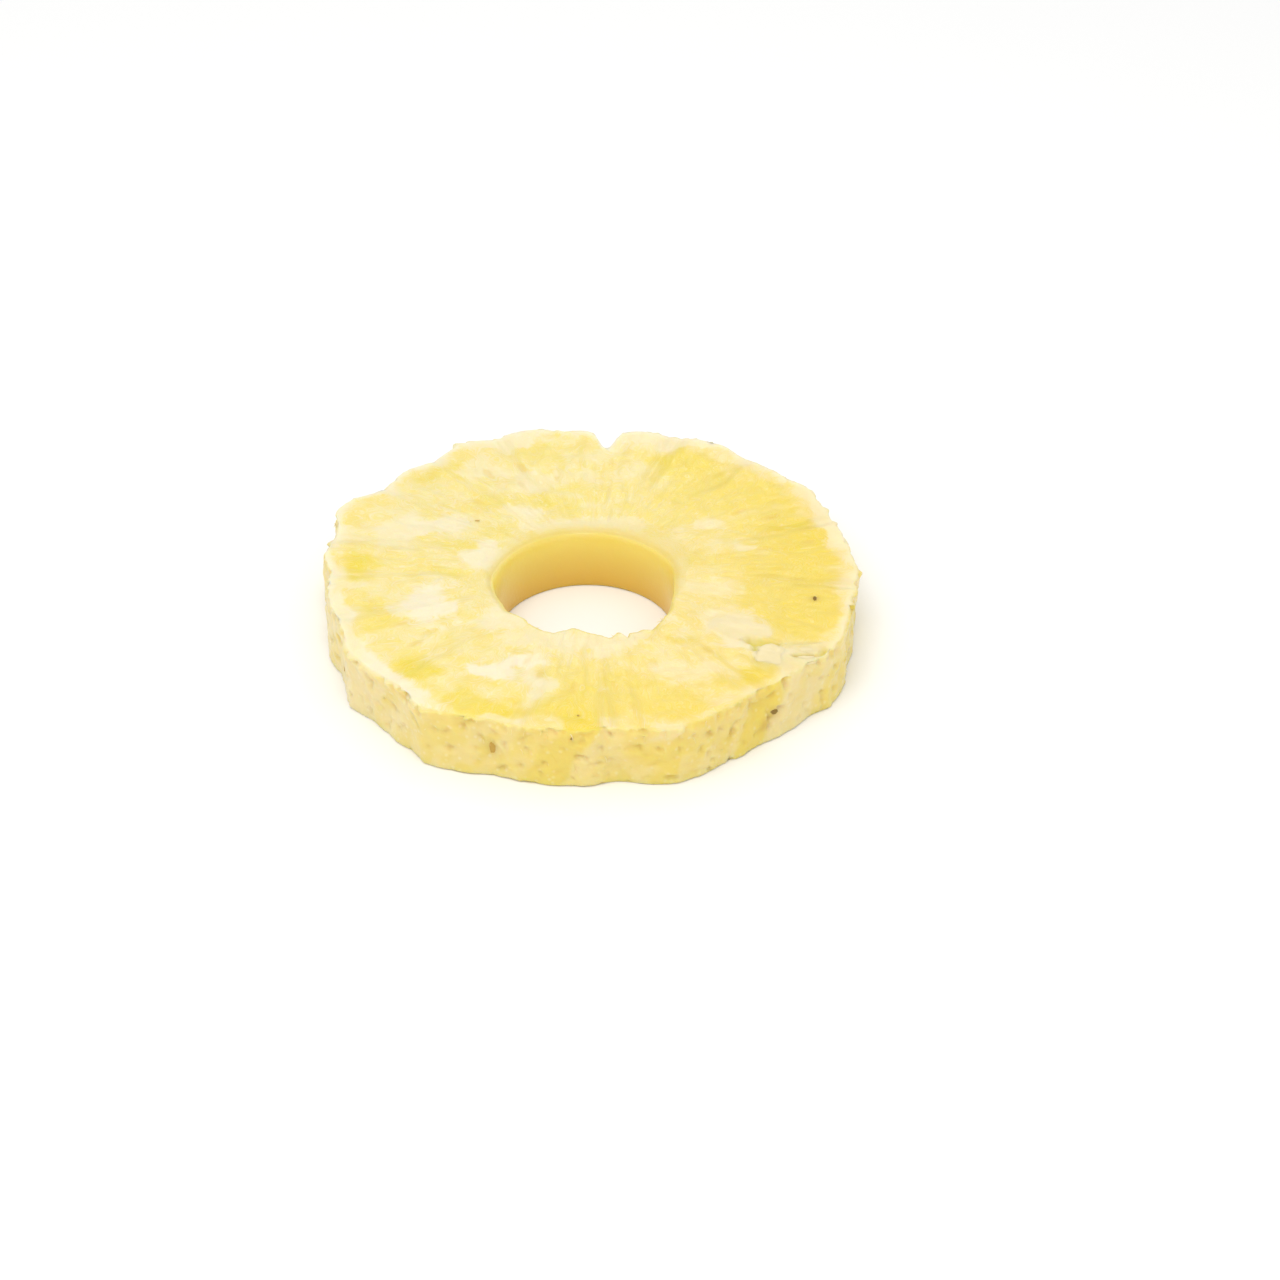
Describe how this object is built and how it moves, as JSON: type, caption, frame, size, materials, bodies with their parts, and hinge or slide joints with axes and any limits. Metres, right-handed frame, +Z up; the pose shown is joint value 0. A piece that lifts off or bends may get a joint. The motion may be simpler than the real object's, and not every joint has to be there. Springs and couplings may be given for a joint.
{
  "type": "pineapple ring",
  "caption": "Flat slice of fresh peeled pineapple with its core cut out, scalloped at the edge, with a cleft at the back and a small tear in the top.",
  "frame": {"origin": "middle of the outline's box, on the flat lower face that the slice lies on", "axes": "+Z up out of the cut top face, through the core hole; +Y towards the cleft; -Y is the front"},
  "size_m": [0.0924, 0.0916, 0.0125],
  "materials": {
    "pineapple_flesh": "moist satin"
  },
  "bodies": {
    "root": {"pineapple_ring": "pineapple_flesh"}
  },
  "joints": []
}
